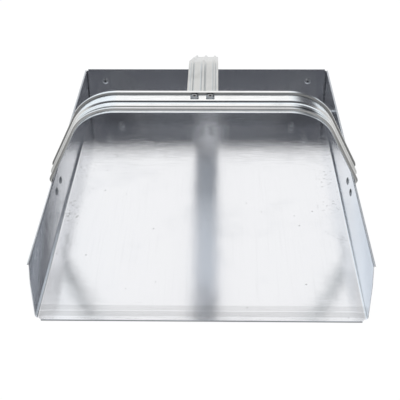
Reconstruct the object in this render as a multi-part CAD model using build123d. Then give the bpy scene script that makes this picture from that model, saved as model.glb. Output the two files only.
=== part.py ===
from build123d import *
import math
import os

# Handheld dustpan of folded sheet with a handle of ribbed steel strip.
# X runs across the pan, Y from the lip to the back wall, Z up from the floor's underside.

# Folded sheet pan
SHEET = 0.6
PAN_WIDTH = 300.0
PAN_LENGTH = 400.0
WALL_HEIGHT = 58.0
BEND_RADIUS = 2.5
HEM_GAP = 1.0
HEM_DEPTH = 8.0
HEM_MITRE = 8.0
WALL_FRONT_RISE = 40.0
WALL_FRONT_SETBACK = 5.0
LIP_GAP = 0.2
LIP_REACH = 4.0
LIP_RETURN = 14.0
LIP_CORNER_CUT = 2.5
LIP_MITRE = 5.0
LIP_SIDE_GAP = 3.0

# Back corners, where a flap of each side wall lies behind the back wall
CORNER_RADIUS = 1.5
CORNER_RELIEF = 3.0
BACK_EDGE_GAP = 1.4
FLAP_GAP = 0.1
FLAP_TOP_WIDTH = 34.0
FLAP_FOOT_WIDTH = 52.0
FLAP_TOP_DROP = 2.0

# Ribbed strip of the hoop and the strap
STRIP_WIDTH = 29.5
STRIP_SHEET = 0.6
RIB_RISE = 1.8
RIB_SHOULDER_RUN = 0.6
RIB_SHOULDER_RISE = 0.25
RIB_CREST_RUN = 0.28
MIDDLE_RIB_HALF = 2.9
EDGE_RIB_HALF = 1.9
EDGE_RIB_CENTRE = 10.8

# Hoop, which stands up from the side walls and leans toward the lip
HOOP_LEAN = 15.0
HOOP_PIVOT_Y = -41.0
HOOP_PIVOT_DROP = 18.6
HOOP_CORNER_RADIUS = 45.0
HOOP_HEM_GAP = 0.2
HOOP_TAIL = 24.0
HOOP_END_RADIUS = 7.0
LEG_SET_GAP = 0.1
LEG_SET_RUN = 5.6
LEG_SET_CLEARANCE = 0.5
LEG_FLAT = 15.5
LEG_RIB_RUNOUT = 5.5
LEG_UPRIGHT = 21.5
LEG_BEND_RADIUS = 6.0
LEG_LEAN = 24.5

# Strap, whose level part and front bend set the height of the hoop's cross bar
STRAP_FOOT_Z = 14.0
STRAP_BACK_RADIUS = 25.0
STRAP_SLOPE = 23.0
STRAP_CREST_RADIUS = 40.0
STRAP_LEVEL_Z = 153.4
STRAP_CORNER_BACK = 10.451
STRAP_FRONT_RADIUS = 10.0
STRAP_TAB = 21.0
STRAP_END_RADIUS = 4.0

# Blind rivets
RIVET_DIAMETER = 4.0
RIVET_HOLE_CLEARANCE = 0.05
RIVET_HEAD_DIAMETER = 8.0
RIVET_HEAD_HEIGHT = 1.2
RIVET_CROWN_DIAMETER = 4.8
RIVET_RIM = 0.35
RIVET_BORE = 2.3
RIVET_BULB_DIAMETER = 5.6
RIVET_BULB_LENGTH = 2.4
RIVET_SIDES = 16
MANDREL_CLEARANCE = 0.05
MANDREL_HEAD_DIAMETER = 3.4
MANDREL_HEAD_HEIGHT = 0.9
MANDREL_SINK = 0.3

# Rivet places
LEG_RIVET_ALONG = 3.7
LEG_RIVET_ACROSS = 11.2
GRIP_RIVET_X = 7.35
GRIP_RIVET_ACROSS = 5.7
GRIP_HEAD_RISE = 1.0
TAIL_RIVET_X = 5.9
TAIL_RIVET_Z = 32.0
CORNER_RIVET_UPPER_INSET = 22.0
CORNER_RIVET_UPPER_Z = 42.6
CORNER_RIVET_LOWER_INSET = 39.5
CORNER_RIVET_LOWER_Z = 22.6

# How far cutters run past the faces that they cut
OVERCUT = 1.0

half_width = PAN_WIDTH / 2
front_y = -PAN_LENGTH / 2
back_y = PAN_LENGTH / 2
floor_z = SHEET
top_z = floor_z + WALL_HEIGHT
hem_outer_radius = SHEET + HEM_GAP / 2
hem_inner_radius = HEM_GAP / 2
hem_axis_z = top_z - hem_outer_radius
hem_axis_x = half_width + hem_outer_radius
lip_outer_radius = SHEET + LIP_GAP / 2
lip_inner_radius = LIP_GAP / 2
channel_back_y = back_y - CORNER_RELIEF

strip_depth = STRIP_SHEET + RIB_RISE
hoop_lean = math.radians(HOOP_LEAN)
hoop_along = Vector(0, -math.sin(hoop_lean), math.cos(hoop_lean))
hoop_across = Vector(0, -math.cos(hoop_lean), -math.sin(hoop_lean))
hoop_pivot_z = top_z - HOOP_PIVOT_DROP
tab_z = STRAP_LEVEL_Z - STRAP_CORNER_BACK * math.sin(hoop_lean)
hoop_reach = (tab_z - hoop_pivot_z) / math.cos(hoop_lean) + strip_depth
leg_x = half_width + 2 * hem_outer_radius + HOOP_HEM_GAP
leg_seat_x = half_width + SHEET + LEG_SET_GAP
leg_set_top_z = top_z - HEM_DEPTH - LEG_SET_CLEARANCE


def on_hoop(x, along, across):
    """A point given in the plane of the hoop: up along its legs, and across the strip toward the lip."""
    return Vector(x, HOOP_PIVOT_Y, hoop_pivot_z) + hoop_along * along + hoop_across * across


def prism_along_x(points, x_from, x_to):
    """A solid with an outline in Y and Z, between two X positions."""
    plane = Plane(origin=(x_from, 0, 0), x_dir=(0, 1, 0), z_dir=(1, 0, 0))
    outline = make_face(Polyline(*points, close=True))
    return extrude(plane * outline, amount=x_to - x_from)


def bent_sheet(inside, outside, inside_radius):
    """The section of a sheet bent along a line, from its two faces."""
    inner = FilletPolyline(*inside, radius=inside_radius)
    outer = FilletPolyline(*outside, radius=inside_radius + SHEET)
    start = Line(inside[0], outside[0])
    end = Line(inside[-1], outside[-1])
    return make_face([inner.edges(), outer.edges(), start, end])


def hem_section():
    """The fold at the top of the right side wall and its return on the outside."""
    hem_foot_z = top_z - HEM_DEPTH
    outer_x = half_width + 2 * hem_outer_radius
    return_x = outer_x - SHEET
    wall_x = half_width + SHEET
    lines = [
        ThreePointArc((half_width, hem_axis_z), (hem_axis_x, top_z), (outer_x, hem_axis_z)),
        Line((outer_x, hem_axis_z), (outer_x, hem_foot_z)),
        Line((outer_x, hem_foot_z), (return_x, hem_foot_z)),
        Line((return_x, hem_foot_z), (return_x, hem_axis_z)),
        ThreePointArc((return_x, hem_axis_z), (hem_axis_x, hem_axis_z + hem_inner_radius), (wall_x, hem_axis_z)),
        Line((wall_x, hem_axis_z), (half_width, hem_axis_z)),
    ]
    return make_face(lines)


def pan_channel():
    """Floor and side walls, bent from one sheet, with hems folded outward along the top."""
    inside = [
        (-half_width, hem_axis_z),
        (-half_width, floor_z),
        (half_width, floor_z),
        (half_width, hem_axis_z),
    ]
    outside = [
        (-half_width - SHEET, hem_axis_z),
        (-half_width - SHEET, 0),
        (half_width + SHEET, 0),
        (half_width + SHEET, hem_axis_z),
    ]
    plane = Plane(origin=(0, channel_back_y, 0), x_dir=(1, 0, 0), z_dir=(0, -1, 0))
    length = channel_back_y - front_y
    channel = extrude(plane * bent_sheet(inside, outside, BEND_RADIUS), amount=length)
    hem = extrude(plane * hem_section(), amount=length)
    return channel + hem + mirror(hem, about=Plane.YZ)


def wall_front_cut():
    """Cutter that slopes the upper front corner of both side walls back."""
    corner_z = floor_z + WALL_FRONT_RISE
    slope = WALL_FRONT_SETBACK / (top_z - corner_z)
    points = [
        (front_y, corner_z),
        (front_y + slope * (top_z + OVERCUT - corner_z), top_z + OVERCUT),
        (front_y - OVERCUT, top_z + OVERCUT),
        (front_y - OVERCUT, corner_z),
    ]
    reach = half_width + 2 * hem_outer_radius + OVERCUT
    return prism_along_x(points, -reach, reach)


def hem_mitre_cut():
    """Cutter that slants the front end of the right hem's return."""
    start_y = front_y + WALL_FRONT_SETBACK
    foot_z = top_z - HEM_DEPTH
    points = [
        (front_y - OVERCUT, hem_axis_z),
        (start_y, hem_axis_z),
        (start_y + HEM_MITRE, foot_z),
        (start_y + HEM_MITRE, foot_z - OVERCUT),
        (front_y - OVERCUT, foot_z - OVERCUT),
    ]
    inner_x = half_width + SHEET + HEM_GAP / 2
    return prism_along_x(points, inner_x, half_width + 2 * hem_outer_radius + OVERCUT)


def back_fold():
    """The back wall, folded up from the floor's back edge."""
    inside = [(channel_back_y, floor_z), (back_y, floor_z), (back_y, top_z)]
    outside = [(channel_back_y, 0), (back_y + SHEET, 0), (back_y + SHEET, top_z)]
    edge_x = half_width - BACK_EDGE_GAP
    plane = Plane(origin=(-edge_x, 0, 0), x_dir=(0, 1, 0), z_dir=(1, 0, 0))
    return extrude(plane * bent_sheet(inside, outside, BEND_RADIUS), amount=2 * edge_x)


def corner_flap():
    """The right side wall's back end, bent round the corner to lie behind the back wall."""
    face_y = back_y + SHEET + FLAP_GAP
    foot_z = floor_z + BEND_RADIUS
    flap_top_z = top_z - FLAP_TOP_DROP
    end_x = half_width - FLAP_FOOT_WIDTH
    inside = [(half_width, channel_back_y), (half_width, face_y), (end_x, face_y)]
    outside = [
        (half_width + SHEET, channel_back_y),
        (half_width + SHEET, face_y + SHEET),
        (end_x, face_y + SHEET),
    ]
    plane = Plane(origin=(0, 0, foot_z))
    flap = extrude(plane * bent_sheet(inside, outside, CORNER_RADIUS), amount=flap_top_z - foot_z)
    top_x = half_width - FLAP_TOP_WIDTH
    slope = (top_x - end_x) / (flap_top_z - foot_z)
    outline = [
        (end_x - OVERCUT - slope * OVERCUT, foot_z - OVERCUT),
        (end_x - slope * OVERCUT, foot_z - OVERCUT),
        (top_x + slope * OVERCUT, flap_top_z + OVERCUT),
        (end_x - OVERCUT, flap_top_z + OVERCUT),
    ]
    plane_back = Plane(origin=(0, face_y + SHEET + OVERCUT, 0), x_dir=(1, 0, 0), z_dir=(0, -1, 0))
    cutter = extrude(plane_back * make_face(Polyline(*outline, close=True)), amount=SHEET + OVERCUT + FLAP_GAP)
    return flap - cutter


def lip():
    """The floor's front edge, reaching past the walls and folded back on top of the floor."""
    tip_y = front_y - LIP_REACH
    axis_y = tip_y + lip_outer_radius
    raw_y = tip_y + LIP_RETURN
    upper_z = 2 * lip_outer_radius
    under_z = upper_z - SHEET
    lines = [
        Line((front_y, 0), (axis_y, 0)),
        ThreePointArc((axis_y, 0), (tip_y, lip_outer_radius), (axis_y, upper_z)),
        Line((axis_y, upper_z), (raw_y, upper_z)),
        Line((raw_y, upper_z), (raw_y, under_z)),
        Line((raw_y, under_z), (axis_y, under_z)),
        ThreePointArc((axis_y, under_z), (axis_y - lip_inner_radius, lip_outer_radius), (axis_y, SHEET)),
        Line((axis_y, SHEET), (front_y, SHEET)),
        Line((front_y, SHEET), (front_y, 0)),
    ]
    edge_x = half_width - LIP_SIDE_GAP
    plane = Plane(origin=(-edge_x, 0, 0), x_dir=(0, 1, 0), z_dir=(1, 0, 0))
    folded = extrude(plane * make_face(lines), amount=2 * edge_x)
    corner = [
        (edge_x - LIP_CORNER_CUT, tip_y - OVERCUT),
        (edge_x - LIP_CORNER_CUT, tip_y),
        (edge_x, front_y),
        (edge_x + OVERCUT, front_y),
        (edge_x + OVERCUT, tip_y - OVERCUT),
    ]
    corner_cut = extrude(make_face(Polyline(*corner, close=True)), amount=upper_z)
    mitre = [
        (edge_x - LIP_CORNER_CUT, tip_y),
        (edge_x - LIP_MITRE, raw_y + OVERCUT),
        (edge_x + OVERCUT, raw_y + OVERCUT),
        (edge_x + OVERCUT, tip_y),
    ]
    mitre_plane = Plane(origin=(0, 0, lip_outer_radius))
    mitre_cut = extrude(mitre_plane * make_face(Polyline(*mitre, close=True)), amount=upper_z)
    for cutter in (corner_cut, mitre_cut):
        folded = folded - cutter - mirror(cutter, about=Plane.YZ)
    return folded


def strip_middle_points(rib_rise):
    """The strip's middle line from edge to edge: flats and three ribs."""
    middle_h = STRIP_SHEET / 2
    profile = [
        (1, 0),
        (RIB_SHOULDER_RUN, RIB_SHOULDER_RISE),
        (RIB_CREST_RUN, 1),
    ]
    ribs = [
        (-EDGE_RIB_CENTRE, EDGE_RIB_HALF),
        (0, MIDDLE_RIB_HALF),
        (EDGE_RIB_CENTRE, EDGE_RIB_HALF),
    ]
    points = [Vector(-STRIP_WIDTH / 2, middle_h)]
    for centre, half in ribs:
        rising = [Vector(centre - half * run, middle_h + rib_rise * rise) for run, rise in profile]
        falling = [Vector(centre + half * run, middle_h + rib_rise * rise) for run, rise in reversed(profile)]
        points += rising + falling
    points.append(Vector(STRIP_WIDTH / 2, middle_h))
    return points


def moved_sideways(points, distance):
    """A line of points moved to its left, with its corners mitred."""
    moved = []
    headings = [(after - before).normalized() for before, after in zip(points, points[1:])]
    sides = [Vector(-heading.Y, heading.X) for heading in headings]
    for point, before, after in zip(points, sides[:1] + sides, sides + sides[-1:]):
        moved.append(point + (before + after) * (distance / (1 + before.dot(after))))
    return moved


def strip_section(rib_rise=RIB_RISE):
    """Section of the ribbed strip, hollow side on the X axis and ribs toward Y."""
    middle = strip_middle_points(rib_rise)
    ribbed = moved_sideways(middle, STRIP_SHEET / 2)
    hollow = moved_sideways(middle, -STRIP_SHEET / 2)
    return make_face(Polyline(*ribbed, *reversed(hollow), close=True))


def straight(plane, length):
    """The strip's section carried straight on, and the plane where it ends."""
    piece = extrude(plane * strip_section(), amount=length)
    end = Plane(origin=plane.origin + plane.z_dir * length, x_dir=plane.x_dir, z_dir=plane.z_dir)
    return piece, end


def bend(plane, radius, turn):
    """The strip's section carried round a bend with its hollow side inside, and the plane where it ends."""
    centre = plane.origin - plane.y_dir * radius
    piece = revolve(plane * strip_section(), axis=Axis(centre, plane.x_dir), revolution_arc=turn)
    turning = Axis((0, 0, 0), plane.x_dir)
    arm = (plane.y_dir * radius).rotate(turning, turn)
    end = Plane(origin=centre + arm, x_dir=plane.x_dir, z_dir=plane.z_dir.rotate(turning, turn))
    return piece, end


def rounded_end(plane, radius):
    """Cutter that rounds both corners of a strip that ends at this plane."""
    half = STRIP_WIDTH / 2
    blank = Pos(0, -radius / 2) * Rectangle(STRIP_WIDTH + 2 * OVERCUT, radius + 2 * OVERCUT)
    keep = Pos(0, -STRIP_WIDTH) * RectangleRounded(STRIP_WIDTH, 2 * STRIP_WIDTH, radius)
    outline = Plane(origin=plane.origin, x_dir=plane.x_dir, z_dir=plane.y_dir * -1)
    return extrude(outline * (blank - keep), amount=half, both=True)


def leg_end():
    """The flattened end of the right leg, set in below the hem so that it lies on the wall."""
    middle = on_hoop(leg_seat_x, 0, 0)
    line = [
        Vector(leg_seat_x, middle.Z - HOOP_TAIL - STRIP_WIDTH),
        Vector(leg_seat_x, leg_set_top_z - LEG_SET_RUN),
        Vector(leg_x, leg_set_top_z),
        Vector(leg_x, middle.Z + LEG_FLAT + STRIP_WIDTH),
    ]
    outer = moved_sideways(line, -STRIP_SHEET)
    section = make_face(Polyline(*line, *reversed(outer), close=True))
    sheet_plane = Plane(origin=(0, middle.Y + HOOP_TAIL + STRIP_WIDTH, 0), x_dir=(1, 0, 0), z_dir=(0, -1, 0))
    sheet = extrude(sheet_plane * section, amount=2 * (HOOP_TAIL + STRIP_WIDTH))
    outline = Pos(0, (HOOP_TAIL - LEG_FLAT) / 2) * Rectangle(STRIP_WIDTH, HOOP_TAIL + LEG_FLAT)
    outline_plane = Plane(origin=on_hoop(half_width, 0, 0), x_dir=hoop_across, z_dir=(1, 0, 0))
    return sheet & extrude(outline_plane * outline, amount=leg_x + strip_depth - half_width)


def hoop():
    """U of ribbed strip: legs with flattened ends, leaning in above the hems, two corners and the cross bar."""
    lean = math.radians(LEG_LEAN)
    rise_of_bends = LEG_BEND_RADIUS * math.sin(lean) + HOOP_CORNER_RADIUS * (1 - math.sin(lean))
    leaning_length = (hoop_reach - LEG_UPRIGHT - rise_of_bends) / math.cos(lean)
    start = Plane(origin=on_hoop(leg_x, -HOOP_TAIL, 0), x_dir=hoop_across, z_dir=hoop_along)
    flat_top = Plane(origin=on_hoop(leg_x, LEG_FLAT, 0), x_dir=hoop_across, z_dir=hoop_along)
    ribs_full = LEG_FLAT + LEG_RIB_RUNOUT
    ribbed = Plane(origin=on_hoop(leg_x, ribs_full, 0), x_dir=hoop_across, z_dir=hoop_along)
    runout = loft([flat_top * strip_section(0), ribbed * strip_section()])
    upright, place = straight(ribbed, LEG_UPRIGHT - ribs_full)
    knee, place = bend(place, LEG_BEND_RADIUS, LEG_LEAN)
    leaning, place = straight(place, leaning_length)
    corner, place = bend(place, HOOP_CORNER_RADIUS, 90 - LEG_LEAN)
    half_bar = extrude(place * strip_section(), amount=place.origin.X)
    tail = Plane(origin=start.origin, x_dir=hoop_across * -1, z_dir=hoop_along * -1)
    side = leg_end() - rounded_end(tail, HOOP_END_RADIUS) + runout + upright + knee + leaning + corner + half_bar
    return side + mirror(side, about=Plane.YZ)


def strap():
    """Grip of ribbed strip: tail on the back wall, slope, level grip and a tab under the hoop's cross bar."""
    slope = math.radians(STRAP_SLOPE)
    back_turn = 90 - STRAP_SLOPE
    back_run = STRAP_BACK_RADIUS * math.tan(math.radians(back_turn / 2))
    crest_run = STRAP_CREST_RADIUS * math.tan(slope / 2)
    front_run = STRAP_FRONT_RADIUS * math.tan(hoop_lean / 2)
    slope_rise = STRAP_LEVEL_Z - top_z - back_run
    crest_y = back_y + SHEET - slope_rise / math.tan(slope)
    tab_middle = on_hoop(0, hoop_reach - strip_depth, 0)
    front_y_of_level = tab_middle.Y + STRAP_CORNER_BACK * math.cos(hoop_lean)
    start = Plane(origin=(0, back_y + SHEET, STRAP_FOOT_Z), x_dir=(1, 0, 0), z_dir=(0, 0, 1))
    tail, place = straight(start, top_z - STRAP_FOOT_Z)
    back_bend, place = bend(place, STRAP_BACK_RADIUS, back_turn)
    rising, place = straight(place, slope_rise / math.sin(slope) - back_run - crest_run)
    crest, place = bend(place, STRAP_CREST_RADIUS, STRAP_SLOPE)
    level, place = straight(place, crest_y - front_y_of_level - crest_run - front_run)
    front_bend, place = bend(place, STRAP_FRONT_RADIUS, HOOP_LEAN)
    tab, end = straight(place, STRAP_TAB)
    whole = tail + back_bend + rising + crest + level + front_bend + tab
    foot = Plane(origin=start.origin, x_dir=(-1, 0, 0), z_dir=(0, 0, -1))
    return whole - rounded_end(end, STRAP_END_RADIUS) - rounded_end(foot, STRAP_END_RADIUS)


def drum(radius, low, high):
    """An upright drum about Z, its round side made of narrow flats."""
    return Pos(0, 0, low) * extrude(RegularPolygon(radius, RIVET_SIDES), amount=high - low)


def rivet_body(grip):
    """Set blind rivet about Z: dome head below Z 0, shank through the sheets, bulb formed behind them."""
    end = grip + RIVET_BULB_LENGTH
    dome_foot = Pos(0, 0, -RIVET_RIM) * RegularPolygon(RIVET_HEAD_DIAMETER / 2, RIVET_SIDES)
    dome_top = Pos(0, 0, -RIVET_HEAD_HEIGHT) * RegularPolygon(RIVET_CROWN_DIAMETER / 2, RIVET_SIDES)
    rim = drum(RIVET_HEAD_DIAMETER / 2, -RIVET_RIM, 0)
    shank = drum(RIVET_DIAMETER / 2, 0, grip)
    bulb = drum(RIVET_BULB_DIAMETER / 2, grip, end)
    bore = drum(RIVET_BORE / 2, -RIVET_HEAD_HEIGHT, end)
    return rim + loft([dome_top, dome_foot], ruled=True) + shank + bulb - bore


def mandrel_stub(grip):
    """The part of the mandrel that stays in a set rivet, with its head against the bulb's end."""
    seat = grip + RIVET_BULB_LENGTH
    stem = drum(RIVET_BORE / 2 - MANDREL_CLEARANCE, MANDREL_SINK - RIVET_HEAD_HEIGHT, seat)
    return stem + drum(MANDREL_HEAD_DIAMETER / 2, seat, seat + MANDREL_HEAD_HEIGHT)


def rivet_places():
    """Name, seat of the head, direction of the shank and thickness riveted, for every rivet."""
    two_sheets = SHEET + STRIP_SHEET
    leg_stack = two_sheets + LEG_SET_GAP
    flap_stack = 2 * SHEET + FLAP_GAP
    bar_stack = GRIP_HEAD_RISE + STRIP_SHEET + strip_depth
    places = []
    for side, sign in (("left", -1), ("right", 1)):
        outward = Vector(sign, 0, 0)
        seat_x = sign * half_width
        front = on_hoop(seat_x, LEG_RIVET_ALONG, LEG_RIVET_ACROSS)
        rear = on_hoop(seat_x, -LEG_RIVET_ALONG, -LEG_RIVET_ACROSS)
        grip_seat = hoop_reach + STRIP_SHEET + GRIP_HEAD_RISE
        grip = on_hoop(sign * GRIP_RIVET_X, grip_seat, -GRIP_RIVET_ACROSS)
        tail = Vector(sign * TAIL_RIVET_X, back_y, TAIL_RIVET_Z)
        upper = Vector(sign * (half_width - CORNER_RIVET_UPPER_INSET), back_y, CORNER_RIVET_UPPER_Z)
        lower = Vector(sign * (half_width - CORNER_RIVET_LOWER_INSET), back_y, CORNER_RIVET_LOWER_Z)
        backward = Vector(0, 1, 0)
        places.append((f"leg_{side}_front", front, outward, leg_stack))
        places.append((f"leg_{side}_rear", rear, outward, leg_stack))
        places.append((f"grip_{side}", grip, hoop_along * -1, bar_stack))
        places.append((f"tail_{side}", tail, backward, two_sheets))
        places.append((f"corner_{side}_upper", upper, backward, flap_stack))
        places.append((f"corner_{side}_lower", lower, backward, flap_stack))
    return places


def save(name, solid):
    """Write one node's STEP file."""
    solid.label = name
    export_step(solid, f"parts/{name}.step")


def pan():
    """The whole pan, one folded sheet, before its rivet holes."""
    mitre = hem_mitre_cut()
    flap = corner_flap()
    shell = pan_channel() - wall_front_cut() - mitre - mirror(mitre, about=Plane.YZ)
    return shell + back_fold() + flap + mirror(flap, about=Plane.YZ) + lip()


os.makedirs("parts", exist_ok=True)

pan_shell = pan()
handle_hoop = hoop()
grip_strap = strap()

hole_radius = RIVET_DIAMETER / 2 + RIVET_HOLE_CLEARANCE
for name, seat, direction, grip in rivet_places():
    place = Plane(origin=seat, z_dir=direction)
    hole = place * drum(hole_radius, -OVERCUT, grip + OVERCUT)
    if not name.startswith("grip"):
        pan_shell = pan_shell - hole
    if name.startswith(("leg", "grip")):
        handle_hoop = handle_hoop - hole
    if name.startswith(("tail", "grip")):
        grip_strap = grip_strap - hole
    save(f"rivet_{name}", place * rivet_body(grip))
    save(f"mandrel_{name}", place * mandrel_stub(grip))

save("pan_shell", pan_shell)
save("handle_hoop", handle_hoop)
save("grip_strap", grip_strap)
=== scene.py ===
# %% [markdown]
# # Handheld dustpan of galvanised sheet
#
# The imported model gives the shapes: a folded sheet pan, a hoop and a strap of ribbed strip, and blind rivets.
# This lesson gives each of them the surface that the real metal shows, then sets the light and the camera.
# All sizes are in metres, in the frame of the model: X across, Y from the lip to the back wall, Z up.

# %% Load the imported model
import math

import bmesh
import bpy
from mathutils import Matrix, Vector


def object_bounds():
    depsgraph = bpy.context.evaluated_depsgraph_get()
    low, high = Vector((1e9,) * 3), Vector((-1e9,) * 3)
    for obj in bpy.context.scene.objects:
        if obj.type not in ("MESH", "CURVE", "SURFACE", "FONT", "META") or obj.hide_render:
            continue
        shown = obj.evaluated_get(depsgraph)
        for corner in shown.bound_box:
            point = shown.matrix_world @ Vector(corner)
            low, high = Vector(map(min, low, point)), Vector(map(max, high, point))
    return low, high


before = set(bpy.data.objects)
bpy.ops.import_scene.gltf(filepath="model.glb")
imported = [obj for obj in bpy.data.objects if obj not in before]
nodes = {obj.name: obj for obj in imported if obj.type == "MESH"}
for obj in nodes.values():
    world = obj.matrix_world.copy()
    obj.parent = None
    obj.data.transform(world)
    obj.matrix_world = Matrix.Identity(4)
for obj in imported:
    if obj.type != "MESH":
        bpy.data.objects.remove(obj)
cad_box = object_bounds()
scene = bpy.context.scene
print(len(nodes), "nodes, box", [round(v, 4) for v in cad_box[1] - cad_box[0]])

# %% [markdown]
# ## Shader arithmetic
#
# A socket is wrapped so that plain `+ - *` build the maths nodes of a material.
# A surface is one material. Its method `node` adds any other node and returns it wrapped.


# %% A socket that takes part in arithmetic
class Sock:
    def __init__(self, tree, out):
        self.tree = tree
        self.out = out

    def math(self, operation, *others, clamp=False):
        node = self.tree.nodes.new("ShaderNodeMath")
        node.operation = operation
        node.use_clamp = clamp
        for slot, value in zip(node.inputs, (self, *others)):
            plug(self.tree, slot, value)
        return Sock(self.tree, node.outputs[0])

    def __add__(self, other):
        return self.math("ADD", other)

    def __radd__(self, other):
        return self.math("ADD", other)

    def __sub__(self, other):
        return self.math("SUBTRACT", other)

    def __rsub__(self, other):
        return self.math("MULTIPLY_ADD", -1.0, other)

    def __mul__(self, other):
        return self.math("MULTIPLY", other)

    def __rmul__(self, other):
        return self.math("MULTIPLY", other)

    def step(self, low, high):
        """0 below low, 1 above high, smooth between."""
        node = self.tree.nodes.new("ShaderNodeMapRange")
        node.interpolation_type = "SMOOTHSTEP"
        plug(self.tree, node.inputs["Value"], self)
        node.inputs["From Min"].default_value = low
        node.inputs["From Max"].default_value = high
        return Sock(self.tree, node.outputs["Result"])

    def band(self, start, end):
        """1 between two soft edges, each given by the two values that it runs between."""
        return self.step(*start) * (1.0 - self.step(*end))

    def mix(self, first, second):
        """Colour between first and second, by this factor."""
        node = self.tree.nodes.new("ShaderNodeMix")
        node.data_type = "RGBA"
        plug(self.tree, node.inputs["Factor"], self)
        plug(self.tree, node.inputs[6], first)
        plug(self.tree, node.inputs[7], second)
        return Sock(self.tree, node.outputs[2])


def plug(tree, slot, value):
    """Link a wrapped socket to an input, or set the input's own value."""
    if isinstance(value, Sock):
        tree.links.new(value.out, slot)
    else:
        slot.default_value = value


print("sockets take part in arithmetic")


# %% A surface
class Surface:
    """A material with one principled shader, on object coordinates."""

    def __init__(self, name, **constants):
        self.material = bpy.data.materials.new(name)
        self.material.use_nodes = True
        self.tree = self.material.node_tree
        self.shader = self.tree.nodes["Principled BSDF"]
        self.place = self.node("ShaderNodeTexCoord", "Object")
        for key, value in constants.items():
            self.shader.inputs[key.replace("_", " ")].default_value = value

    def node(self, kind, output, settings=None, **inputs):
        """Any node, with its settings made first. Returns the named output."""
        made = self.tree.nodes.new(kind)
        for key, value in (settings or {}).items():
            setattr(made, key, value)
        for key, value in inputs.items():
            plug(self.tree, made.inputs[key.replace("_", " ")], value)
        return Sock(self.tree, made.outputs[output])

    def stretched(self, scale):
        """Object coordinates with another scale on each axis."""
        return self.node("ShaderNodeMapping", "Vector", Vector=self.place, Scale=scale)

    def noise(self, scale, detail=3.0, rough=0.5, where=None):
        sizes = {"Scale": scale, "Detail": detail, "Roughness": rough}
        return self.node("ShaderNodeTexNoise", "Fac", Vector=where or self.place, **sizes)

    def axis(self, name):
        return self.node("ShaderNodeSeparateXYZ", name, Vector=self.place)

    def bump(self, height, strength, distance, under=None):
        """A normal bent by a height, on top of another bent normal if one is given."""
        made = self.node("ShaderNodeBump", "Normal", Height=height, Strength=strength, Distance=distance)
        if under:
            plug(self.tree, made.out.node.inputs["Normal"], under)
        return made

    def feed(self, **inputs):
        """Link or set inputs of the principled shader."""
        for key, value in inputs.items():
            plug(self.tree, self.shader.inputs[key.replace("_", " ")], value)


print("surfaces can be made")

# %% [markdown]
# ## Galvanised sheet
#
# The pan is bright rolled sheet. It reflects like a soft mirror, with slow waves from the rolling and the
# folding, fine rub marks along the pan, dull smudges and a few dark specks. Dirt lies beside the folds, and the
# outside is scuffed. Painted shade darkens the folded lip and its front edge, the tops of the side hems, and
# the floor along the back, where it mirrors the back wall.

# %% Marks on the sheet
sheet = Surface("galvanised_sheet", Metallic=1.0, IOR=1.8)
rub_lines = sheet.stretched((900.0, 14.0, 900.0))
scuff_lines = sheet.stretched((40.0, 420.0, 420.0))
smudge = sheet.noise(scale=9.0, detail=4.0, rough=0.6).step(0.5, 0.72)
haze = sheet.noise(scale=38.0, detail=3.0, rough=0.55).step(0.45, 0.8)
rub = sheet.noise(scale=1.0, detail=3.0, rough=0.6, where=rub_lines).step(0.52, 0.78)
scuff = sheet.noise(scale=1.0, detail=2.0, rough=0.5, where=scuff_lines).step(0.6, 0.75)
from_speck = sheet.node("ShaderNodeTexVoronoi", "Distance", {"feature": "F1"}, Vector=sheet.place, Scale=70.0)
speck = (1.0 - from_speck.step(0.04, 0.085)) * sheet.noise(scale=25.0).step(0.49, 0.56)
dirt = sheet.noise(scale=240.0, detail=4.0, rough=0.65).step(0.56, 0.66)
dirt = dirt * sheet.noise(scale=24.0, detail=2.0, rough=0.5).step(0.44, 0.6)
print("marks on the sheet:", len(sheet.tree.nodes), "nodes")

# %% Regions of the sheet
floor_edge = (0.0018, 0.003)
lip_tip_edge = (-0.2037, -0.2028)
lip_flat_front, lip_flat_back = (-0.1988, -0.1976), (-0.1914, -0.1908)
lip_foot_front, lip_foot_back = (-0.1902, -0.1897), (-0.1835, -0.1808)
fold_inner, fold_outer = (0.118, 0.134), (0.1455, 0.148)
fold_front = (-0.11, -0.05)
back_front = (0.145, 0.178)
side_skin, back_skin = (0.1501, 0.1505), (0.2002, 0.2005)
hem_foot, hem_side = (0.0562, 0.0574), (0.1495, 0.1502)

along = sheet.axis("Y")
height = sheet.axis("Z")
aside = sheet.axis("X").math("ABSOLUTE")
on_floor = 1.0 - height.step(*floor_edge)
lip_tip = 1.0 - along.step(*lip_tip_edge)
lip_flat = along.band(lip_flat_front, lip_flat_back)
lip_foot = along.band(lip_foot_front, lip_foot_back)
by_fold = aside.band(fold_inner, fold_outer) * along.step(*fold_front) * on_floor
by_back = along.step(*back_front) * on_floor
outer_side = aside.step(*side_skin)
outside = outer_side.math("MAXIMUM", along.step(*back_skin))
hem = height.step(*hem_foot) * aside.step(*hem_side)
print("regions of the sheet:", len(sheet.tree.nodes), "nodes so far")

# %% Tone and gloss of the sheet
bright_zinc = (0.885, 0.89, 0.91, 1.0)
smudged_zinc = (0.845, 0.853, 0.875, 1.0)
scuffed_zinc = (0.62, 0.63, 0.65, 1.0)
dull_zinc = (0.5, 0.51, 0.53, 1.0)
speck_tone = (0.22, 0.22, 0.23, 1.0)
# Painted shade for the rolled lip: its flat and the floor just behind it are darker, its front edge darker
# still.
painted_lip_shade = (0.6, 0.605, 0.615, 1.0)
painted_lip_edge_shade = (0.25, 0.255, 0.27, 1.0)
dirt_tone = (0.42, 0.42, 0.43, 1.0)
rub_tone = (0.6, 0.605, 0.62, 1.0)
# Painted shade: the floor along the back wall is darkened, deepening its mirror image of that wall.
painted_back_shade = (0.44, 0.445, 0.46, 1.0)
# Painted shade along the tops of the side hems.
painted_hem_shade = (0.5, 0.505, 0.52, 1.0)

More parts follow.
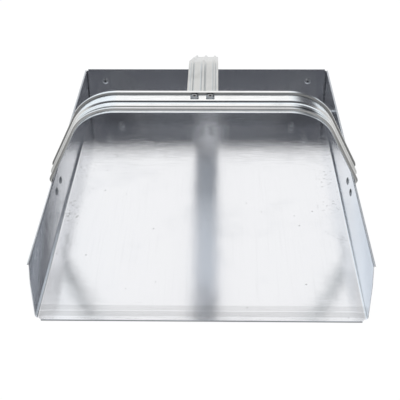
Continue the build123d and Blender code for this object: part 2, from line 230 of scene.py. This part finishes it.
stains_and_painted_shade = (
    (scuff * smudge * 0.25, scuffed_zinc),
    (speck * 0.55, speck_tone),
    # Painted shade on the folded lip, the floor just behind it, and the lip's front edge.
    ((lip_flat * 0.55 + lip_foot * 0.4) * on_floor, painted_lip_shade),
    (lip_tip * 0.8, painted_lip_edge_shade),
    (dirt * by_fold * 0.6, dirt_tone),
    (rub * 0.1, rub_tone),
    # Painted shade on the floor along the back wall.
    (by_back * 0.65, painted_back_shade),
    (outside * 0.75, smudge.mix(scuffed_zinc, dull_zinc)),
    # Painted shade on the tops of the side hems.
    (hem * 0.7, painted_hem_shade),
)
tone = smudge.mix(bright_zinc, smudged_zinc)
for share, layer_tone in stains_and_painted_shade:
    tone = share.mix(tone, layer_tone)
gloss = 0.14 + smudge * 0.05 + haze * 0.02 + rub * 0.03 + outside * 0.12
print("stains on the sheet:", len(stains_and_painted_shade))

# %% [markdown]
# The real side walls spread outward a little from the middle of the pan to its front. The model's walls are
# upright, so the spread is only in the shading of their inner faces.

# %% Waves of the sheet
ripple_lines = sheet.stretched((40.0, 1500.0, 40.0))
spread_start, spread_rate = 0.05, -2.8

wave = sheet.noise(scale=7.0, detail=1.0, rough=0.4)
dent = sheet.noise(scale=22.0, detail=1.0, rough=0.4)
ripple = sheet.noise(scale=1.0, detail=1.0, rough=0.5, where=ripple_lines)
ahead_of_start = (along - spread_start).math("MINIMUM", 0.0)
spread = ahead_of_start * ahead_of_start * (1.0 - outer_side) * spread_rate
grain = sheet.bump(rub, strength=0.03, distance=0.0004)
rolled = sheet.bump(wave * 0.8 + dent * 0.2, strength=0.28, distance=0.0035, under=grain)
rippled = sheet.bump(ripple, strength=1.0, distance=0.00007, under=rolled)
spread_walls = sheet.bump(height * spread, strength=1.0, distance=1.0, under=rippled)
sheet.feed(Base_Color=tone, Roughness=gloss, Normal=spread_walls)
print("galvanised sheet:", len(sheet.tree.nodes), "nodes")

# %% [markdown]
# ## Ribbed strip
#
# The strip is drawn through rollers, so it is a little warmer and has fine lines along its length. Its zinc
# has gone dull on the strap's upper side, which the hand holds, and low on the hoop's legs. Painted shade
# darkens the creases beside the hoop's ribs.


# %% Ribbed strip
def ribbed_strip(name, stretch, clean, bright_gloss, dull_gloss, wear_and_shade):
    """Rolled strip with fine lines along its length, dull where worn, and darkened by painted shade where that
    is given.
    """
    dull_tone = (0.66, 0.66, 0.645, 1.0)
    dull_worn_tone = (0.55, 0.55, 0.535, 1.0)
    line_tone = (0.5, 0.5, 0.49, 1.0)
    # Painted shade laid along the hoop's creases.
    crease_shade_tone = (0.12, 0.12, 0.118, 1.0)
    worn_share = 0.925
    strip = Surface(name, Metallic=1.0, IOR=1.8)
    dull, crease_shade = wear_and_shade(strip)
    worn = strip.noise(scale=30.0, detail=4.0, rough=0.6).step(0.45, 0.75)
    lines = strip.noise(scale=1.0, detail=2.0, rough=0.6, where=strip.stretched(stretch)).step(0.45, 0.75)
    cross = strip.noise(scale=220.0, detail=2.0, rough=0.5).step(0.5, 0.8)
    bright = worn.mix((*clean, 1.0), (*(worn_share * part for part in clean), 1.0))
    metal = dull.mix(bright, worn.mix(dull_tone, dull_worn_tone))
    metal = (lines * 0.2).mix(metal, line_tone)
    # Painted shade in the creases, where it is given.
    if crease_shade:
        metal = crease_shade.mix(metal, crease_shade_tone)
    gloss = bright_gloss + dull * (dull_gloss - bright_gloss) + worn * 0.07 + cross * 0.04
    drawn = strip.bump(lines * 0.6 + cross * 0.4, strength=0.06, distance=0.0004)
    strip.feed(Base_Color=metal, Roughness=gloss, Normal=drawn)
    return strip


print("strip ready to be worn")

# %% Wear of the hoop and the strap, and painted shade in the hoop's creases
hoop_lean = math.radians(15.0)
hoop_pivot_y, hoop_pivot_z = -0.041, 0.04
hoop_middle = -hoop_pivot_y * math.cos(hoop_lean) - hoop_pivot_z * math.sin(hoop_lean)
dull_full_z, dull_gone_z = 0.1, 0.152

# Each crease has its middle across the strip, its half width and the share of painted shade in it.
hoop_creases = (
    (-0.0094, 0.0016, 0.9),
    (0.0012, 0.0011, 0.25),
    (0.0079, 0.0028, 0.9),
    (0.012, 0.0011, 0.75),
)
crease_core = 0.3


def hoop_wear_and_crease_shade(strip):
    """Dull low on the legs, and painted shade in the creases beside the ribs."""
    along_y = strip.axis("Y")
    along_z = strip.axis("Z")
    dull = 1.0 - along_z.step(dull_full_z, dull_gone_z)
    across = along_y * -math.cos(hoop_lean) - along_z * math.sin(hoop_lean) - hoop_middle
    # Painted shade along each crease beside the ribs.
    crease_shade = None
    for middle, half, share in hoop_creases:
        away = (across - middle).math("ABSOLUTE")
        line = (1.0 - away.step(half * crease_core, half)) * share
        crease_shade = crease_shade + line if crease_shade else line
    return dull, crease_shade


def strap_wear(strip):
    """Dull on the upper side, which the hand holds, and without painted shade."""
    facing = strip.node("ShaderNodeNewGeometry", "Normal")
    dull = strip.node("ShaderNodeSeparateXYZ", "Z", Vector=facing).step(-0.15, 0.15)
    return dull, None


hoop_strip = ribbed_strip(
    "handle_strip",
    stretch=(60.0, 1100.0, 1100.0),
    clean=(0.92, 0.92, 0.915),
    bright_gloss=0.2,
    dull_gloss=0.3,
    wear_and_shade=hoop_wear_and_crease_shade,
)
strap_strip = ribbed_strip(
    "grip_strip",
    stretch=(1100.0, 60.0, 60.0),
    clean=(0.97, 0.975, 0.985),
    bright_gloss=0.28,
    dull_gloss=0.3,
    wear_and_shade=strap_wear,
)
print("ribbed strip:", len(hoop_strip.tree.nodes), "and", len(strap_strip.tree.nodes), "nodes")

# %% [markdown]
# ## Rivets
#
# The rivet bodies are plain aluminium. Those on the hoop's legs and on the grip are dark all over, as
# painted shade for their holes and shadows. The broken mandrels inside them are dark steel wire.


# %% Rivets and mandrels
def aluminium(name, clean, pitted):
    """Plain aluminium with fine pits."""
    metal = Surface(name, Metallic=1.0, IOR=1.4)
    pits = metal.noise(scale=700.0, detail=3.0, rough=0.6).step(0.45, 0.75)
    tone = pits.mix((*clean, 1.0), (*pitted, 1.0))
    relief = metal.bump(pits, strength=0.1, distance=0.0002)
    metal.feed(Base_Color=tone, Roughness=0.22 + pits * 0.15, Normal=relief)
    return metal


rivet = aluminium("rivet_aluminium", clean=(0.82, 0.825, 0.83), pitted=(0.64, 0.645, 0.65))
# Painted shade: a dark version of the aluminium for the rivets on the legs and the grip.
shaded_rivet = aluminium("rivet_painted_shade", clean=(0.3, 0.305, 0.31), pitted=(0.16, 0.165, 0.17))

wire_tone = (0.05, 0.05, 0.052, 1.0)
rust_tone = (0.09, 0.08, 0.072, 1.0)
mandrel = Surface("mandrel_steel", Metallic=1.0)
rust = mandrel.noise(scale=900.0, detail=3.0, rough=0.6).step(0.4, 0.7)
mandrel.feed(Base_Color=rust.mix(wire_tone, rust_tone), Roughness=0.45 + rust * 0.2)
print("rivets and mandrels ready")

# %% Give every node its surface
# A node takes the first surface whose key starts its name.
surfaces = {
    "pan_shell": sheet,
    "handle_hoop": hoop_strip,
    "grip_strap": strap_strip,
    # The rivets on the hoop's legs and on the grip get the dark painted shade.
    "rivet_leg": shaded_rivet,
    "rivet_grip": shaded_rivet,
    "rivet": rivet,
    "mandrel": mandrel,
}
for name, obj in nodes.items():
    kind = next(surface for start, surface in surfaces.items() if name.startswith(start))
    obj.data.materials.clear()
    obj.data.materials.append(kind.material)
print("surfaces on", len(nodes), "nodes")

# %% [markdown]
# ## Floor
#
# A plain pale floor. To the camera and in reflections it is white, and it keeps a soft shadow of the object.

# %% Floor
floor_size = 8.0
floor_drop = 0.0002
floor_tone = (0.9, 0.9, 0.9, 1.0)
white_level = 1.06
white_share = 0.9

floor_mesh = bpy.data.meshes.new("floor")
plate = bmesh.new()
bmesh.ops.create_grid(plate, x_segments=1, y_segments=1, size=floor_size / 2)
plate.to_mesh(floor_mesh)
plate.free()
floor = bpy.data.objects.new("floor", floor_mesh)
floor.location.z = cad_box[0].z - floor_drop
scene.collection.objects.link(floor)

paint = bpy.data.materials.new("floor_white")
paint.use_nodes = True
tree = paint.node_tree
tree.nodes.clear()
ray = tree.nodes.new("ShaderNodeLightPath")
seen = Sock(tree, ray.outputs["Is Camera Ray"]) + Sock(tree, ray.outputs["Is Glossy Ray"])
seen = seen.math("ADD", Sock(tree, ray.outputs["Is Transmission Ray"]), clamp=True)
diffuse = tree.nodes.new("ShaderNodeBsdfDiffuse")
diffuse.inputs["Color"].default_value = floor_tone
glow = tree.nodes.new("ShaderNodeEmission")
glow.inputs["Strength"].default_value = white_level
blend = tree.nodes.new("ShaderNodeMixShader")
plug(tree, blend.inputs["Fac"], seen * white_share)
tree.links.new(diffuse.outputs[0], blend.inputs[1])
tree.links.new(glow.outputs[0], blend.inputs[2])
surface_out = tree.nodes.new("ShaderNodeOutputMaterial")
tree.links.new(blend.outputs[0], surface_out.inputs["Surface"])
floor_mesh.materials.append(paint)
print("floor at", round(floor.location.z, 4))

# %% [markdown]
# ## Light
#
# The pan stands in a white studio that is pale blue at its sides. Two parts of the room are dim: the camera's
# side, and a tall screen at the upper right. One soft box hangs above. The sheet mirrors all of them.


# %% Room
def sine(degrees):
    return math.sin(math.radians(degrees))


dim_tone = (0.1, 0.104, 0.117, 1.0)
middle_tone = (1.0, 1.0, 1.0, 1.0)
side_tone = (0.9, 0.97, 1.03, 1.0)
side_edge = math.radians(8.0), math.radians(26.0)
front_edge = -0.42, -0.12
front_top = sine(44.0), sine(62.0)
screen_left = math.radians(14.5), math.radians(20.0)
screen_right = math.radians(52.0), math.radians(68.0)
screen_foot = sine(14.0), sine(27.0)
screen_top = sine(46.0), sine(56.0)

world = bpy.data.worlds.new("room")
world.use_nodes = True
scene.world = world
room = world.node_tree
direction = room.nodes.new("ShaderNodeTexCoord").outputs["Generated"]
split = room.nodes.new("ShaderNodeSeparateXYZ")
room.links.new(direction, split.inputs["Vector"])
depth = Sock(room, split.outputs["Y"])
rise = Sock(room, split.outputs["Z"])
bearing = Sock(room, split.outputs["X"]).math("ARCTAN2", depth)
screen = bearing.band(screen_left, screen_right) * rise.band(screen_foot, screen_top)
front = (1.0 - depth.step(*front_edge)) * (1.0 - rise.step(*front_top))
lit = (1.0 - front) * (1.0 - screen)
pale = bearing.math("ABSOLUTE").step(*side_edge).mix(middle_tone, side_tone)
by_camera = Sock(room, room.nodes.new("ShaderNodeLightPath").outputs["Is Camera Ray"])
backdrop = by_camera.mix(lit.mix(dim_tone, pale), middle_tone)
plug(room, room.nodes["Background"].inputs["Color"], backdrop)
print("room:", len(room.nodes), "nodes")


# %% Lamp
def soft_box(name, centre, aim, width, depth, radiance):
    """A rectangular lamp of even radiance, turned to face a point."""
    lamp = bpy.data.lights.new(name, "AREA")
    lamp.shape = "RECTANGLE"
    lamp.size = width
    lamp.size_y = depth
    lamp.energy = radiance * math.pi * width * depth
    obj = bpy.data.objects.new(name, lamp)
    obj.location = centre
    obj.rotation_euler = (Vector(aim) - Vector(centre)).to_track_quat("-Z", "Y").to_euler()
    scene.collection.objects.link(obj)


soft_box("soft_box_top", centre=(0, 0.1, 1.7), aim=(0, 0.1, 0), width=1.9, depth=1.9, radiance=0.1)

# %% [markdown]
# ## Camera
#
# The camera stands in front of the open side, above it and almost on the middle line.

# %% Camera
camera_place = (0.0138, -0.7788, 0.5186)
azimuth = math.radians(-1.36)
descent = math.radians(33.89)
roll = math.radians(-0.54)
focal_px = 851.4
frame_px = 400
sensor = 36.0

level_ahead = Vector((math.sin(azimuth), math.cos(azimuth), 0.0))
ahead = level_ahead * math.cos(descent) - Vector((0.0, 0.0, math.sin(descent)))
right = Vector((math.cos(azimuth), -math.sin(azimuth), 0.0))
up = right.cross(ahead)
rolled_right = right * math.cos(roll) + up * math.sin(roll)
rolled_up = up * math.cos(roll) - right * math.sin(roll)
turn = Matrix((rolled_right, rolled_up, -ahead)).transposed()
lens = bpy.data.cameras.new("camera")
lens.sensor_width = sensor
lens.lens = focal_px / frame_px * sensor
camera = bpy.data.objects.new("camera", lens)
camera.matrix_world = Matrix.Translation(camera_place) @ turn.to_4x4()
scene.collection.objects.link(camera)
scene.camera = camera
scene.view_settings.view_transform = "Standard"
print("lens", round(lens.lens, 2), "mm")
